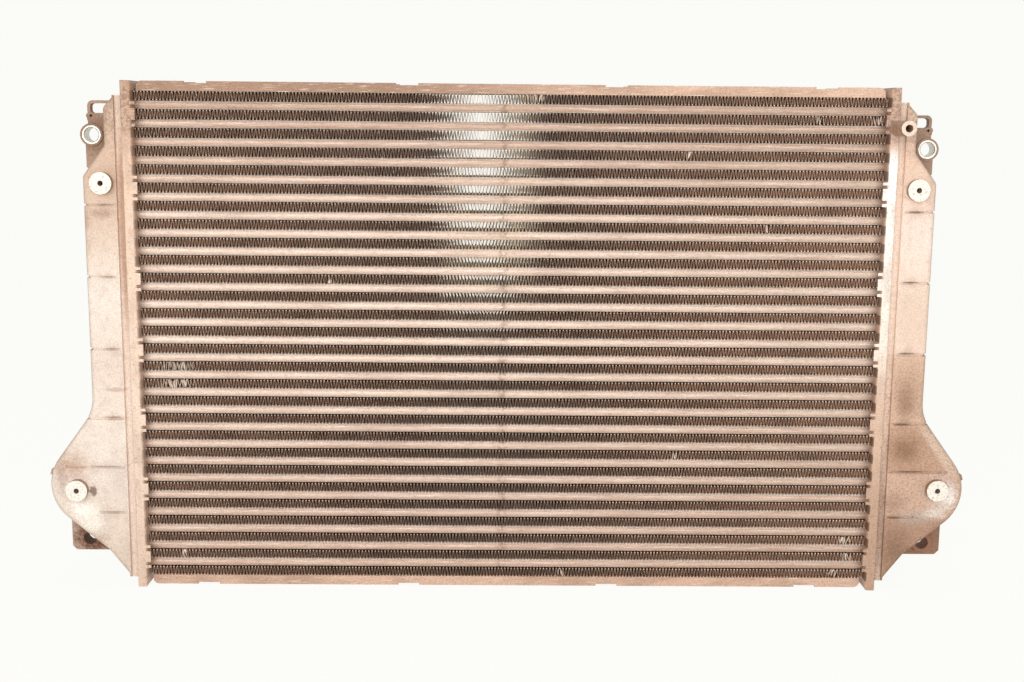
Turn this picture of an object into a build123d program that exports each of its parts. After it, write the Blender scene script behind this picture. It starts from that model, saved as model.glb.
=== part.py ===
from build123d import *
import math
import os

# Tube-and-fin charge-air cooler with two cast end tanks.
# X runs across the cooler, Y from the front face to the rear, Z up. The origin is at the
# bottom of the header plates, in the middle of the core's width and depth. Heights are
# reckoned from the core's middle and lifted when the pieces are written.

# ---------------------------------------------------------------- driving sizes, mm
# Core: flat tubes with corrugated fin strips brazed between them.
TUBE_COUNT = 27
TUBE_HEIGHT = 8.0
TUBE_WALL = 0.6
CORE_DEPTH = 48.0
CORE_WIDTH = 682.0            # between the inner faces of the two header plates
FIN_HEIGHT = 8.5
FIN_SHEET = 0.5
FIN_LEG_COUNT = 24                 # each leg stands for about eighteen of the real strip's fine folds
FIN_END_GAP = 1.5             # between a fin strip and the header plate
INNER_FIN_SHEET = 0.4
INNER_FIN_LEG_COUNT = 6
INNER_FIN_GAP = 0.05          # braze between an inner fin's crests and the tube's wall
BRAZE_GAP = 0.05              # around a tube where it passes through a header plate

# Side plates: U-channels that close the core above and below.
SIDE_FLANGE = 9.0
SIDE_SHEET = 1.6
SIDE_END_GAP = 3.0
SIDE_CORNER_RADIUS = 5.5
NOTCH_WIDTH = 20.0
NOTCH_DEPTH = 1.8
NOTCH_SETBACKS = (53.0, 243.5)            # of the notches from each end of the plate

# Header plates: shallow pans that hold the tube ends and the foot of each tank.
HEADER_SHEET = 2.5
HEADER_OVERHANG = 9.0         # of the plate beyond the tubes, front and rear
HEADER_WALL = 8.0             # how far the pan's wall stands out from the core
HEADER_BEND_RADIUS = 2.4
TUBE_STICK_OUT = 2.5          # of a tube end beyond the header's outer face
CRIMP_LIP = 3.0
CRIMP_SHEET = 1.2
CRIMP_RADIUS = 1.0            # of the edge where the pan's wall turns over the foot
TAB_ROWS = (1, 5, 10, 14, 18, 22, 26)     # the fin rows beside which the edge is lanced
TAB_GROUP_HEIGHT = 22.0
TAB_HEIGHT = 10.5
TAB_LIP_HEIGHT = 2.6
TAB_REACH = 3.4
TAB_SHEET = 1.8

# Gasket between header and tank foot.
GASKET_WIDTH = 3.6
GASKET_THICKNESS = 2.2

# End tanks: thin-walled castings with a panelled face, bosses, brackets and a hose neck.
TANK_WALL = 4.0
TANK_SETBACK = 2.5            # of the tank's front and rear behind the header's
TANK_CORNER_RADIUS = 5.0
FOOT_CLEARANCE = 0.3
FOOT_WIDTH = 5.0              # across the foot's rim, from its outer to its inner edge
THROAT_CLEARANCE = 0.5        # between the throat and the crimped lip
THROAT_WIDTH = 7.0
TANK_WIDTH = 39.0             # from the header's rim to the straight outer wall
SHOULDER_STEP = 20.5          # by which the wall beside the upper bracket stands further in
BODY_TOP_DROP = 13.0          # of the body below the header's top
BODY_BOTTOM_RISE = 8.0        # of the body above the header's bottom
HEAD_RUN = 4.3                # along the top, from the throat to where the top slopes down
HEAD_DROP = 4.5
SHOULDER_DROP = 11.0          # of the shoulder's corner below the body's top
NARROW_ABOVE_BOSS = 33.5      # where the narrow wall ends, above the upper boss
WIDE_ABOVE_BOSS = 6.0         # where the full width begins, above the upper boss
SHOULDER_FILLET = 6.0
FOOT_CORNER = (11.0, 26.0)    # in from the outer wall, up from the body's bottom
TOE_CORNER = (26.0, 6.5)
NECK_FROM_RIM = 39.0          # of the hose neck's axis from the header's rim
NECK_RISE = 98.0              # of the hose neck's axis above the header's bottom
BULGE_RADIUS = 42.0
SLOPE_RISE = 71.0             # where the slope to the bulge begins, above the neck's axis
SLOPE_FILLET = 40.0
WRAPPED_GROOVES = (124.5, 59.0, -8.0, -73.5)      # heights of those cut right round
FACE_GROOVES = ((18.0, 26.0), (-26.0, -4.0))      # height and outer end from the neck's axis
GROOVE_WIDTH = 2.4
GROOVE_DEPTH = 1.3
GROOVE_INSET = 2.0            # of a groove's start from the throat
GROOVE_OVERCUT = 1.0
NECK_RADIUS = 30.0
NECK_WALL = 4.0
NECK_LENGTH = 38.5
BEAD_HEIGHT = 1.6
BEAD_WIDTH = 5.0
BEAD_SETBACK = 4.0

# Round bosses, small lug and ejector mark of each tank.
BOSS_RADIUS = 10.0
BOSS_HEIGHT = 7.0
BOSS_TAP_RADIUS = 2.5
BOSS_TAP_DEPTH = 14.0
BOSS_ROOT = 8.0               # how far a boss runs on inside the tank's wall
UPPER_BOSS_INSET = 18.5       # from the straight outer wall
UPPER_BOSS_DROP = 91.5        # below the header's top
LOWER_BOSS_OVERHANG = 15.5    # beyond the neck's axis
PILLAR_RADIUS = 6.8
PILLAR_TAP_RADIUS = 3.4
PILLAR_TAP_DEPTH = 20.0
PILLAR_CLEARANCE = 0.8        # between the pillar's root and the header's front wall
PILLAR_OFFSET = 6.5           # of the pillar's axis from the header's inner face
PILLAR_DROP = 36.0            # below the header's top
PILLAR_GUSSET = 7.0
PILLAR_GUSSET_SETBACK = 6.0   # of the gusset's top behind the pillar's face
PILLAR_ROOT = 2.0             # how far the gusset runs into the body
LUG_ANGLE = 15.0              # of the flank lug above the neck's axis, degrees
LUG_SIZE = 5.0
LUG_HEIGHT = 2.2              # by which it stands out of the bulge
LUG_DEPTH = (-24.0, -17.0)
MARK_RADIUS = 2.8
MARK_HEIGHT = 0.6
MARK_INSET = 11.5             # of the ejector mark from the straight outer wall
MARK_BELOW_BOSS = 39.5

# Upper bracket with a bushed eye and a cable loop, lower bracket with a plain eye.
BRACKET_FRONT = 9.0
BRACKET_THICKNESS = 13.0
BRACKET_ROOT = 6.0            # how far the brackets run into the tank
BRACKET_ABOVE_BOSS = 4.0      # where the upper bracket begins, above the upper boss
BRACKET_FOOT_RISE = 9.0
EYE_OVERHANG = 1.0            # of the upper eye's axis beyond the straight outer wall
EYE_RADIUS = 10.5
EYE_FLANK = 6.0               # of the bracket's edge beyond the eye's axis
EYE_NECK = (3.0, 12.0)        # of the narrow place over the eye, out from its axis and up
BUSH_RADIUS = 8.5
BUSH_BORE_RADIUS = 6.5
BUSH_LENGTH = 16.0
BUSH_CHAMFER = 0.8
LOOP_TOP = 31.5               # of the loop above the eye's axis
LOOP_FOOT = 20.0
LOOP_LEDGE = 5.0              # thickness of the ledge that carries the loop
LOOP_BAND = 2.7
LOOP_OVERHANG = 5.0           # of the loop beyond the straight outer wall
LOOP_THICKNESS = 8.0
LOOP_RADIUS = 5.0
LOOP_INNER_RADIUS = 3.0
NUB_RADIUS = 1.8
NUB_LENGTH = 6.0
NUB_HOLE_RADIUS = 1.3
NUB_HOLE_INSET = 3.8
NUB_HOLE_DEPTH = 6.0
LOWER_EYE_OVERHANG = 18.0     # beyond the neck's axis
LOWER_EYE_RISE = 35.0         # above the header's bottom
LOWER_EYE_RADIUS = 10.0
LOWER_EYE_BORE_RADIUS = 6.3
LOWER_EYE_LENGTH = 18.0
LOWER_PLATE_EDGE = 18.0       # of the lower bracket beyond its eye's axis
LOWER_PLATE_FOOT = 12.5       # of the same, below its eye's axis
LOWER_PLATE_CHAMFER = 4.0
LOWER_PLATE_INSET = 16.0      # of its inner edge from the straight outer wall
BULGE_ROOT = (22.0, 25.0)     # its upper corner inside the bulge, out and down from the axis
BULGE_ROOT_INNER = 40.0       # the same for its inner corner, down

# The two castings differ in where the upper eye and the lower boss sit.
EYE_DROP = {"left": 49.0, "right": 55.5}                  # below the header's top
LOWER_BOSS_DROP = {"left": 3.5, "right": -1.5}            # below the neck's axis

# ---------------------------------------------------------------- worked out from them
PITCH = TUBE_HEIGHT + FIN_HEIGHT
FIN_COUNT = TUBE_COUNT + 1
CORE_HALF = CORE_WIDTH / 2
SIDE_WEB_HEIGHT = FIN_COUNT * FIN_HEIGHT / 2 + TUBE_COUNT * TUBE_HEIGHT / 2
HEADER_HALF_HEIGHT = SIDE_WEB_HEIGHT + SIDE_FLANGE
MID_HEIGHT = HEADER_HALF_HEIGHT
HEADER_OUTER_FACE = CORE_HALF + HEADER_SHEET
HEADER_RIM = CORE_HALF + HEADER_WALL
HEADER_DEPTH = CORE_DEPTH + 2 * HEADER_OVERHANG
PAN_HALF_DEPTH = HEADER_DEPTH / 2 - HEADER_SHEET
PAN_HALF_HEIGHT = HEADER_HALF_HEIGHT - HEADER_SHEET
FOOT_FACE = HEADER_OUTER_FACE + GASKET_THICKNESS
FOOT_HALF_DEPTH = PAN_HALF_DEPTH - FOOT_CLEARANCE
FOOT_HALF_HEIGHT = PAN_HALF_HEIGHT - FOOT_CLEARANCE
BODY_START = HEADER_RIM + CRIMP_SHEET + THROAT_WIDTH
GROOVE_START = BODY_START + GROOVE_INSET
BODY_TOP = HEADER_HALF_HEIGHT - BODY_TOP_DROP
BODY_BOTTOM = BODY_BOTTOM_RISE - HEADER_HALF_HEIGHT
TANK_REAR = HEADER_DEPTH / 2 - TANK_SETBACK
TANK_FRONT = -TANK_REAR
THROAT_HALF_DEPTH = PAN_HALF_DEPTH - CRIMP_LIP - THROAT_CLEARANCE
TANK_OUTER = HEADER_RIM + TANK_WIDTH
TANK_SHOULDER = TANK_OUTER - SHOULDER_STEP
NECK = (HEADER_RIM + NECK_FROM_RIM, NECK_RISE - HEADER_HALF_HEIGHT)
NECK_MOUTH = TANK_REAR + NECK_LENGTH
UPPER_BOSS = (TANK_OUTER - UPPER_BOSS_INSET, HEADER_HALF_HEIGHT - UPPER_BOSS_DROP)
BOSS_FACE = TANK_FRONT - BOSS_HEIGHT
PILLAR = (CORE_HALF + PILLAR_OFFSET, HEADER_HALF_HEIGHT - PILLAR_DROP)
PILLAR_FACE = -NECK_MOUTH     # as far in front of the core's middle as the neck's mouth is behind
BRACKET_REAR = BRACKET_FRONT + BRACKET_THICKNESS
BRACKET_MIDDLE = BRACKET_FRONT + BRACKET_THICKNESS / 2
BRACKET_INNER = TANK_SHOULDER - BRACKET_ROOT
LOOP_OUTER = TANK_OUTER + LOOP_OVERHANG
LOOP_HEIGHT = LOOP_TOP - LOOP_FOOT + LOOP_BAND
LOWER_EYE = (NECK[0] + LOWER_EYE_OVERHANG, LOWER_EYE_RISE - HEADER_HALF_HEIGHT)


def upper_eye(side):
    """Front-view place of a casting's upper eye."""
    return TANK_OUTER + EYE_OVERHANG, HEADER_HALF_HEIGHT - EYE_DROP[side]


def lower_boss(side):
    """Front-view place of a casting's lower boss."""
    return NECK[0] + LOWER_BOSS_OVERHANG, NECK[1] - LOWER_BOSS_DROP[side]


def between(profile, front, rear):
    """Solid of a front-view profile, from one depth to another."""
    return extrude(Plane.XZ.offset(-rear) * profile, amount=rear - front)


def across(profile, start, end):
    """Solid of a profile drawn in depth (first) and height (second), from one X to another."""
    return extrude(Plane.YZ.offset(start) * profile, amount=end - start)


def rod(place, radius, front, rear):
    """Round bar along the depth, at a front-view place."""
    return between(Pos(*place) * Circle(radius), front, rear)


def block(x_range, y_range, z_range):
    """Plain box from its ranges."""
    size = [high - low for low, high in (x_range, y_range, z_range)]
    middle = [(high + low) / 2 for low, high in (x_range, y_range, z_range)]
    return Pos(*middle) * Box(*size)


def row_height(row):
    """Height of a fin row's middle, counted from the top row down."""
    return (FIN_COUNT - 1) * PITCH / 2 - row * PITCH


def tube_height(tube):
    """Height of a tube's middle, counted from the top tube down."""
    return row_height(tube) - PITCH / 2


def flat_oval(depth, height):
    """Section of a flat tube with full-round noses."""
    return SlotOverall(depth, height)


def zigzag(length, height, sheet, legs):
    """Section of a corrugated strip that touches both of its neighbours' faces."""
    step = length / legs
    slant = math.hypot(step, height) / step
    thick = sheet * slant
    swing = (height - thick) / 2
    upper = [(i * step - length / 2, swing * (-1) ** i + thick / 2) for i in range(legs + 1)]
    lower = [(x, z - thick) for x, z in reversed(upper)]
    return make_face(Polyline(*upper, *lower, close=True))


# ---------------------------------------------------------------- core
def make_tube(tube):
    """One flat charge-air tube, open at both ends."""
    end = HEADER_OUTER_FACE + TUBE_STICK_OUT
    wall = flat_oval(CORE_DEPTH, TUBE_HEIGHT) - flat_oval(
        CORE_DEPTH - 2 * TUBE_WALL, TUBE_HEIGHT - 2 * TUBE_WALL
    )
    return Pos(0, 0, tube_height(tube)) * across(wall, -end, end)


def make_inner_fin(tube):
    """Corrugated strip inside a tube, with its channels along the air flow."""
    height = TUBE_HEIGHT - 2 * (TUBE_WALL + INNER_FIN_GAP)
    flat_depth = CORE_DEPTH - TUBE_HEIGHT
    section = zigzag(flat_depth, height, INNER_FIN_SHEET, INNER_FIN_LEG_COUNT)
    return Pos(0, 0, tube_height(tube)) * across(section, -CORE_HALF, CORE_HALF)


def make_fin(row):
    """Corrugated cooling-fin strip between two tubes, with its channels along the depth."""
    section = zigzag(CORE_WIDTH - 2 * FIN_END_GAP, FIN_HEIGHT, FIN_SHEET, FIN_LEG_COUNT)
    return Pos(0, 0, row_height(row)) * between(section, -CORE_DEPTH / 2, CORE_DEPTH / 2)


def make_side_plate(sign):
    """U-channel above (+1) or below (-1) the core, with its flanges turned outwards."""
    half = CORE_HALF - SIDE_END_GAP
    web = block(
        (-half, half), (-CORE_DEPTH / 2, CORE_DEPTH / 2), (SIDE_WEB_HEIGHT, SIDE_WEB_HEIGHT + SIDE_SHEET)
    )
    face = Pos(0, SIDE_WEB_HEIGHT + SIDE_FLANGE / 2) * Rectangle(2 * half, SIDE_FLANGE)
    outer_corners = face.vertices().sort_by(Axis.Y)[-2:]
    face = fillet(outer_corners, SIDE_CORNER_RADIUS)
    notch = Rectangle(NOTCH_WIDTH, 2 * NOTCH_DEPTH)
    for setback in NOTCH_SETBACKS:
        for place in (setback - half, half - setback):
            face -= Pos(place, SIDE_WEB_HEIGHT + SIDE_FLANGE) * notch
    plate = web
    for front in (-CORE_DEPTH / 2, CORE_DEPTH / 2 - SIDE_SHEET):
        plate += between(face, front, front + SIDE_SHEET)
    return plate if sign > 0 else mirror(plate, about=Plane.XY)


# ---------------------------------------------------------------- header plate and gasket
def tab_group(row):
    """Lanced edge beside a fin row: a tab between two narrow lips."""
    lip_middle = (TAB_GROUP_HEIGHT - TAB_LIP_HEIGHT) / 2
    pieces = [(0, TAB_HEIGHT), (lip_middle, TAB_LIP_HEIGHT), (-lip_middle, TAB_LIP_HEIGHT)]
    shapes = []
    for offset_z, height in pieces:
        middle = row_height(row) + offset_z
        shapes.append(
            block(
                (CORE_HALF - TAB_REACH, CORE_HALF + HEADER_SHEET),
                (-HEADER_DEPTH / 2, -HEADER_DEPTH / 2 + TAB_SHEET),
                (middle - height / 2, middle + height / 2),
            )
        )
    return shapes


def make_header():
    """Right header plate: a pan with a slot for each tube, lanced edges and a crimped rim."""
    pan = block(
        (CORE_HALF, HEADER_RIM),
        (-HEADER_DEPTH / 2, HEADER_DEPTH / 2),
        (-HEADER_HALF_HEIGHT, HEADER_HALF_HEIGHT),
    )
    bends = pan.faces().sort_by(Axis.X)[0].edges()
    pan = fillet(bends, HEADER_BEND_RADIUS)
    pan -= block(
        (HEADER_OUTER_FACE, HEADER_RIM),
        (-PAN_HALF_DEPTH, PAN_HALF_DEPTH),
        (-PAN_HALF_HEIGHT, PAN_HALF_HEIGHT),
    )
    rim = block(
        (HEADER_RIM, HEADER_RIM + CRIMP_SHEET),
        (-HEADER_DEPTH / 2, HEADER_DEPTH / 2),
        (-HEADER_HALF_HEIGHT, HEADER_HALF_HEIGHT),
    )
    rim = fillet(rim.faces().sort_by(Axis.X)[-1].edges(), CRIMP_RADIUS)
    rim -= block(
        (HEADER_RIM, HEADER_RIM + CRIMP_SHEET),
        (-PAN_HALF_DEPTH + CRIMP_LIP, PAN_HALF_DEPTH - CRIMP_LIP),
        (-PAN_HALF_HEIGHT + CRIMP_LIP, PAN_HALF_HEIGHT - CRIMP_LIP),
    )
    header = pan + rim
    for row in TAB_ROWS:
        for tab in tab_group(row):
            header += tab
            header += mirror(tab, about=Plane.XZ)
    slot = flat_oval(CORE_DEPTH + 2 * BRAZE_GAP, TUBE_HEIGHT + 2 * BRAZE_GAP)
    slots = Sketch() + [Pos(0, tube_height(tube)) * slot for tube in range(TUBE_COUNT)]
    header -= across(slots, CORE_HALF, HEADER_OUTER_FACE)
    return header


def make_gasket():
    """Right gasket: a flat ring in the header's pan, under the tank's foot."""
    outer = Rectangle(2 * FOOT_HALF_DEPTH, 2 * FOOT_HALF_HEIGHT)
    inner = Rectangle(2 * (FOOT_HALF_DEPTH - GASKET_WIDTH), 2 * (FOOT_HALF_HEIGHT - GASKET_WIDTH))
    return across(outer - inner, HEADER_OUTER_FACE, FOOT_FACE)


# ---------------------------------------------------------------- end tank
def tangent_place(centre, radius, outside, turn):
    """Place where a line from an outside point touches a circle, on its +1 or -1 side."""
    away_x = outside[0] - centre[0]
    away_z = outside[1] - centre[1]
    bearing = math.atan2(away_z, away_x)
    opening = math.acos(radius / math.hypot(away_x, away_z))
    angle = bearing + turn * opening
    return centre[0] + radius * math.cos(angle), centre[1] + radius * math.sin(angle)


def tank_outline():
    """Front view of the tank's body, to the right of the header plate."""
    slope_corner = (TANK_OUTER, NECK[1] + SLOPE_RISE)
    foot_corner = (TANK_OUTER - FOOT_CORNER[0], BODY_BOTTOM + FOOT_CORNER[1])
    slope_end = tangent_place(NECK, BULGE_RADIUS, slope_corner, -1)
    bulge_end = tangent_place(NECK, BULGE_RADIUS, foot_corner, 1)
    bulge_side = (NECK[0] + BULGE_RADIUS, NECK[1])
    upper = Polyline(
        (BODY_START, BODY_BOTTOM),
        (BODY_START, BODY_TOP),
        (BODY_START + HEAD_RUN, BODY_TOP - HEAD_DROP),
        (TANK_SHOULDER, BODY_TOP - SHOULDER_DROP),
        (TANK_SHOULDER, UPPER_BOSS[1] + NARROW_ABOVE_BOSS),
        (TANK_OUTER, UPPER_BOSS[1] + WIDE_ABOVE_BOSS),
        slope_corner,
        slope_end,
    )
    bulge = ThreePointArc(slope_end, bulge_side, bulge_end)
    lower = Polyline(
        bulge_end,
        foot_corner,
        (TANK_OUTER - TOE_CORNER[0], BODY_BOTTOM + TOE_CORNER[1]),
        (BODY_START, BODY_BOTTOM),
    )
    return make_face(upper + bulge + lower)


def soften(outline):
    """Rounds the shoulders of the outline, and most of all the place where the slope begins."""
    slope_start = NECK[1] + SLOPE_RISE
    slope = outline.vertices().filter_by(lambda v: abs(v.Y - slope_start) < 0.1)
    outline = fillet(slope.sort_by(Axis.X)[-1:], SLOPE_FILLET)
    shoulders = outline.vertices().filter_by(
        lambda v: v.Y > UPPER_BOSS[1] and v.X > BODY_START + HEAD_RUN + 0.1
    )
    return fillet(shoulders, SHOULDER_FILLET)


def tank_body(outline):
    """Outer solid of the tank's body, with its edges rounded away from the header."""
    body = between(outline, TANK_FRONT, TANK_REAR)
    edges = body.faces().filter_by(Axis.Y).edges()
    edges = edges.filter_by(lambda e: e.center().X > BODY_START + 0.5)
    return fillet(edges, TANK_CORNER_RADIUS)


def wrapped_groove(outline, height):
    """Shallow band cut round the body's front, outer wall and rear at one height."""
    level = Pos(0, height) * Rectangle(4 * TANK_OUTER, GROOVE_WIDTH)
    wall = (outline & level).bounding_box().max.X
    z_range = (height - GROOVE_WIDTH / 2, height + GROOVE_WIDTH / 2)
    reach = TANK_REAR - GROOVE_DEPTH
    core = block((BODY_START - GROOVE_OVERCUT, wall - GROOVE_DEPTH), (-reach, reach), z_range)
    outer_edges = core.edges().filter_by(Axis.Z).sort_by(Axis.X)[-2:]
    core = fillet(outer_edges, TANK_CORNER_RADIUS - GROOVE_DEPTH / 2)
    y_range = (TANK_FRONT - GROOVE_OVERCUT, TANK_REAR + GROOVE_OVERCUT)
    return block((GROOVE_START, wall + GROOVE_OVERCUT), y_range, z_range) - core


def face_groove(height, end):
    """Shallow channel in the body's front face at one height."""
    z_range = (height - GROOVE_WIDTH / 2, height + GROOVE_WIDTH / 2)
    return block((GROOVE_START, end), (TANK_FRONT - GROOVE_OVERCUT, TANK_FRONT + GROOVE_DEPTH), z_range)


def cable_loop(eye):
    """Closed loop above the upper eye."""
    width = 2 * (LOOP_OUTER - BRACKET_INNER)
    ring = RectangleRounded(width, LOOP_HEIGHT, LOOP_RADIUS)
    ring -= RectangleRounded(width - 2 * LOOP_BAND, LOOP_HEIGHT - 2 * LOOP_BAND, LOOP_INNER_RADIUS)
    ring &= Pos(width / 2, 0) * Rectangle(width, LOOP_HEIGHT)
    ring = Pos(BRACKET_INNER, eye[1] + LOOP_TOP - LOOP_HEIGHT / 2) * ring
    return between(ring, BRACKET_MIDDLE - LOOP_THICKNESS / 2, BRACKET_MIDDLE + LOOP_THICKNESS / 2)


def upper_bracket(side):
    """Bracket plate with its eye boss, cable loop and nub, before the eye is bored."""
    eye = upper_eye(side)
    foot = UPPER_BOSS[1] + BRACKET_ABOVE_BOSS
    ledge = eye[1] + LOOP_FOOT
    plate = make_face(
        Polyline(
            (BRACKET_INNER, foot),
            (TANK_OUTER, foot),
            (eye[0] + EYE_FLANK, foot + BRACKET_FOOT_RISE),
            (eye[0] + EYE_FLANK, eye[1] - EYE_FLANK),
            (eye[0] + EYE_NECK[0], eye[1] + EYE_NECK[1]),
            (LOOP_OUTER, ledge - LOOP_LEDGE),
            (LOOP_OUTER, ledge),
            (BRACKET_INNER, ledge),
            close=True,
        )
    )
    bracket = between(plate, BRACKET_FRONT, BRACKET_REAR)
    bracket += rod(eye, EYE_RADIUS, BRACKET_MIDDLE - BUSH_LENGTH / 2, BRACKET_MIDDLE + BUSH_LENGTH / 2)
    bracket += cable_loop(eye)
    nub = (LOOP_OUTER, ledge - LOOP_LEDGE / 2)
    bracket += rod(nub, NUB_RADIUS, BRACKET_MIDDLE - NUB_LENGTH / 2, BRACKET_MIDDLE + NUB_LENGTH / 2)
    hole = (LOOP_OUTER - NUB_HOLE_INSET, ledge - LOOP_LEDGE / 2)
    return bracket - rod(hole, NUB_HOLE_RADIUS, BRACKET_FRONT, BRACKET_FRONT + NUB_HOLE_DEPTH)


def lower_bracket():
    """Plate below the bulge with a plain eye boss, before the eye is bored."""
    inner = TANK_OUTER - LOWER_PLATE_INSET
    outer = LOWER_EYE[0] + LOWER_PLATE_EDGE
    bottom = LOWER_EYE[1] - LOWER_PLATE_FOOT
    plate = make_face(
        Polyline(
            (inner, bottom),
            (outer - LOWER_PLATE_CHAMFER, bottom),
            (outer, bottom + LOWER_PLATE_CHAMFER),
            (outer, NECK[1] - BULGE_RADIUS),
            (NECK[0] + BULGE_ROOT[0], NECK[1] - BULGE_ROOT[1]),
            (inner, NECK[1] - BULGE_ROOT_INNER),
            close=True,
        )
    )
    bracket = between(plate, BRACKET_FRONT, BRACKET_REAR)
    front = BRACKET_MIDDLE - LOWER_EYE_LENGTH / 2
    return bracket + rod(LOWER_EYE, LOWER_EYE_RADIUS, front, front + LOWER_EYE_LENGTH)


def hose_neck():
    """Outside of the neck that points to the rear, with a bead near its mouth."""
    body = rod(NECK, NECK_RADIUS, 0, NECK_MOUTH)
    bead_end = NECK_MOUTH - BEAD_SETBACK
    bead = rod(NECK, NECK_RADIUS + BEAD_HEIGHT, bead_end - BEAD_WIDTH, bead_end)
    return body + fillet(bead.edges().filter_by(GeomType.CIRCLE), BEAD_HEIGHT - 0.1)


def flank_lug():
    """Small lug on the bulge's outer flank, its inner end inside the tank's wall."""
    reach = BULGE_RADIUS + LUG_HEIGHT
    length = LUG_HEIGHT + TANK_WALL / 2
    lug = Rot(0, 0, LUG_ANGLE) * Pos(reach - length / 2, 0) * Rectangle(length, LUG_SIZE)
    return between(Pos(*NECK) * lug, *LUG_DEPTH)


def pillar():
    """Tall boss that stands in front of the header's wall, carried by a gusset from the body."""
    root = -HEADER_DEPTH / 2 - PILLAR_CLEARANCE
    post = rod(PILLAR, PILLAR_RADIUS, PILLAR_FACE, root)
    top = PILLAR_FACE + PILLAR_GUSSET_SETBACK
    inside = TANK_SHOULDER - PILLAR_ROOT
    gusset = make_face(
        Polyline(
            (PILLAR[0], root),
            (BODY_START, root),
            (BODY_START, TANK_FRONT + PILLAR_ROOT),
            (inside, TANK_FRONT + PILLAR_ROOT),
            (inside, TANK_FRONT),
            (PILLAR[0] + PILLAR_RADIUS, top),
            (PILLAR[0], top),
            close=True,
        )
    )
    low = PILLAR[1] - PILLAR_GUSSET / 2
    return post + extrude(Plane.XY.offset(low) * gusset, amount=PILLAR_GUSSET)


def tank_cavity(outline):
    """Air space of the tank, from the bulge through the throat to the foot, and the neck's bore."""
    inner_depth = FOOT_HALF_DEPTH - FOOT_WIDTH
    chamber = between(offset(outline, -TANK_WALL), TANK_FRONT + TANK_WALL, TANK_REAR - TANK_WALL)
    foot = block(
        (FOOT_FACE, BODY_START),
        (-inner_depth, inner_depth),
        (BODY_BOTTOM + TANK_WALL, BODY_TOP - TANK_WALL),
    )
    throat = block(
        (BODY_START, BODY_START + TANK_WALL),
        (-inner_depth, inner_depth),
        (BODY_BOTTOM + TOE_CORNER[1] + TANK_WALL, BODY_TOP - HEAD_DROP - TANK_WALL),
    )
    return chamber, foot, throat, rod(NECK, NECK_RADIUS - NECK_WALL, 0, NECK_MOUTH)


def make_tank(side):
    """End tank as the right-hand casting; the left one is mirrored when it is placed."""
    outline = soften(tank_outline())
    tank = tank_body(outline)
    tank += block(
        (HEADER_RIM, BODY_START + PILLAR_ROOT),
        (-THROAT_HALF_DEPTH, THROAT_HALF_DEPTH),
        (BODY_BOTTOM, BODY_TOP),
    )
    tank += block(
        (FOOT_FACE, HEADER_RIM),
        (-FOOT_HALF_DEPTH, FOOT_HALF_DEPTH),
        (-FOOT_HALF_HEIGHT, FOOT_HALF_HEIGHT),
    )
    for height in WRAPPED_GROOVES:
        tank -= wrapped_groove(outline, height)
    for rise, overhang in FACE_GROOVES:
        tank -= face_groove(NECK[1] + rise, NECK[0] + overhang)
    tank += hose_neck()
    tank += upper_bracket(side)
    tank += lower_bracket()
    tank += flank_lug()
    if side == "right":
        tank += pillar()
        mark = (TANK_OUTER - MARK_INSET, UPPER_BOSS[1] - MARK_BELOW_BOSS)
        tank += rod(mark, MARK_RADIUS, TANK_FRONT - MARK_HEIGHT, TANK_FRONT + MARK_HEIGHT)

    for space in tank_cavity(outline):
        tank -= space
    for place in (UPPER_BOSS, lower_boss(side)):
        tank += rod(place, BOSS_RADIUS, BOSS_FACE, TANK_FRONT + BOSS_ROOT)
        tank -= rod(place, BOSS_TAP_RADIUS, BOSS_FACE, BOSS_FACE + BOSS_TAP_DEPTH)
    if side == "right":
        tank -= rod(PILLAR, PILLAR_TAP_RADIUS, PILLAR_FACE, PILLAR_FACE + PILLAR_TAP_DEPTH)
    tank -= rod(upper_eye(side), BUSH_RADIUS, 0, TANK_REAR)
    tank -= rod(LOWER_EYE, LOWER_EYE_BORE_RADIUS, 0, TANK_REAR)
    return tank


def make_bush(side):
    """Steel bush pressed into the upper eye."""
    front = BRACKET_MIDDLE - BUSH_LENGTH / 2
    bush = rod(upper_eye(side), BUSH_RADIUS, front, front + BUSH_LENGTH)
    bush -= rod(upper_eye(side), BUSH_BORE_RADIUS, front, front + BUSH_LENGTH)
    mouths = bush.edges().filter_by(lambda e: e.geom_type == GeomType.CIRCLE and e.radius < BUSH_RADIUS - 0.1)
    return chamfer(mouths, BUSH_CHAMFER)


# ---------------------------------------------------------------- writing the pieces
def write(name, shape):
    """Writes one piece, lifted so that the header plates stand on Z = 0."""
    placed = Pos(0, 0, MID_HEIGHT) * shape
    export_step(placed, os.path.join("parts", name + ".step"))


def on_side(side, shape):
    """Keeps a right-hand piece, or mirrors it to the left."""
    return shape if side == "right" else mirror(shape, about=Plane.YZ)


def main():
    os.makedirs("parts", exist_ok=True)
    for tube in range(TUBE_COUNT):
        write(f"tube_{tube + 1:02d}", make_tube(tube))
    write("inner_fins", Compound(children=[make_inner_fin(tube) for tube in range(TUBE_COUNT)]))
    for first in range(0, FIN_COUNT, 2):
        rows = range(first, min(first + 2, FIN_COUNT))
        name = f"fin_strips_{first + 1:02d}_{rows[-1] + 1:02d}"
        write(name, Compound(children=[make_fin(row) for row in rows]))
    write("top_side_plate", make_side_plate(1))
    write("bottom_side_plate", make_side_plate(-1))
    header = make_header()
    gasket = make_gasket()
    for side in ("left", "right"):
        write(f"{side}_header_plate", on_side(side, header))
        write(f"{side}_gasket", on_side(side, gasket))
        write(f"{side}_end_tank", on_side(side, make_tank(side)))
        write(f"{side}_eye_bush", on_side(side, make_bush(side)))


main()
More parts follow.
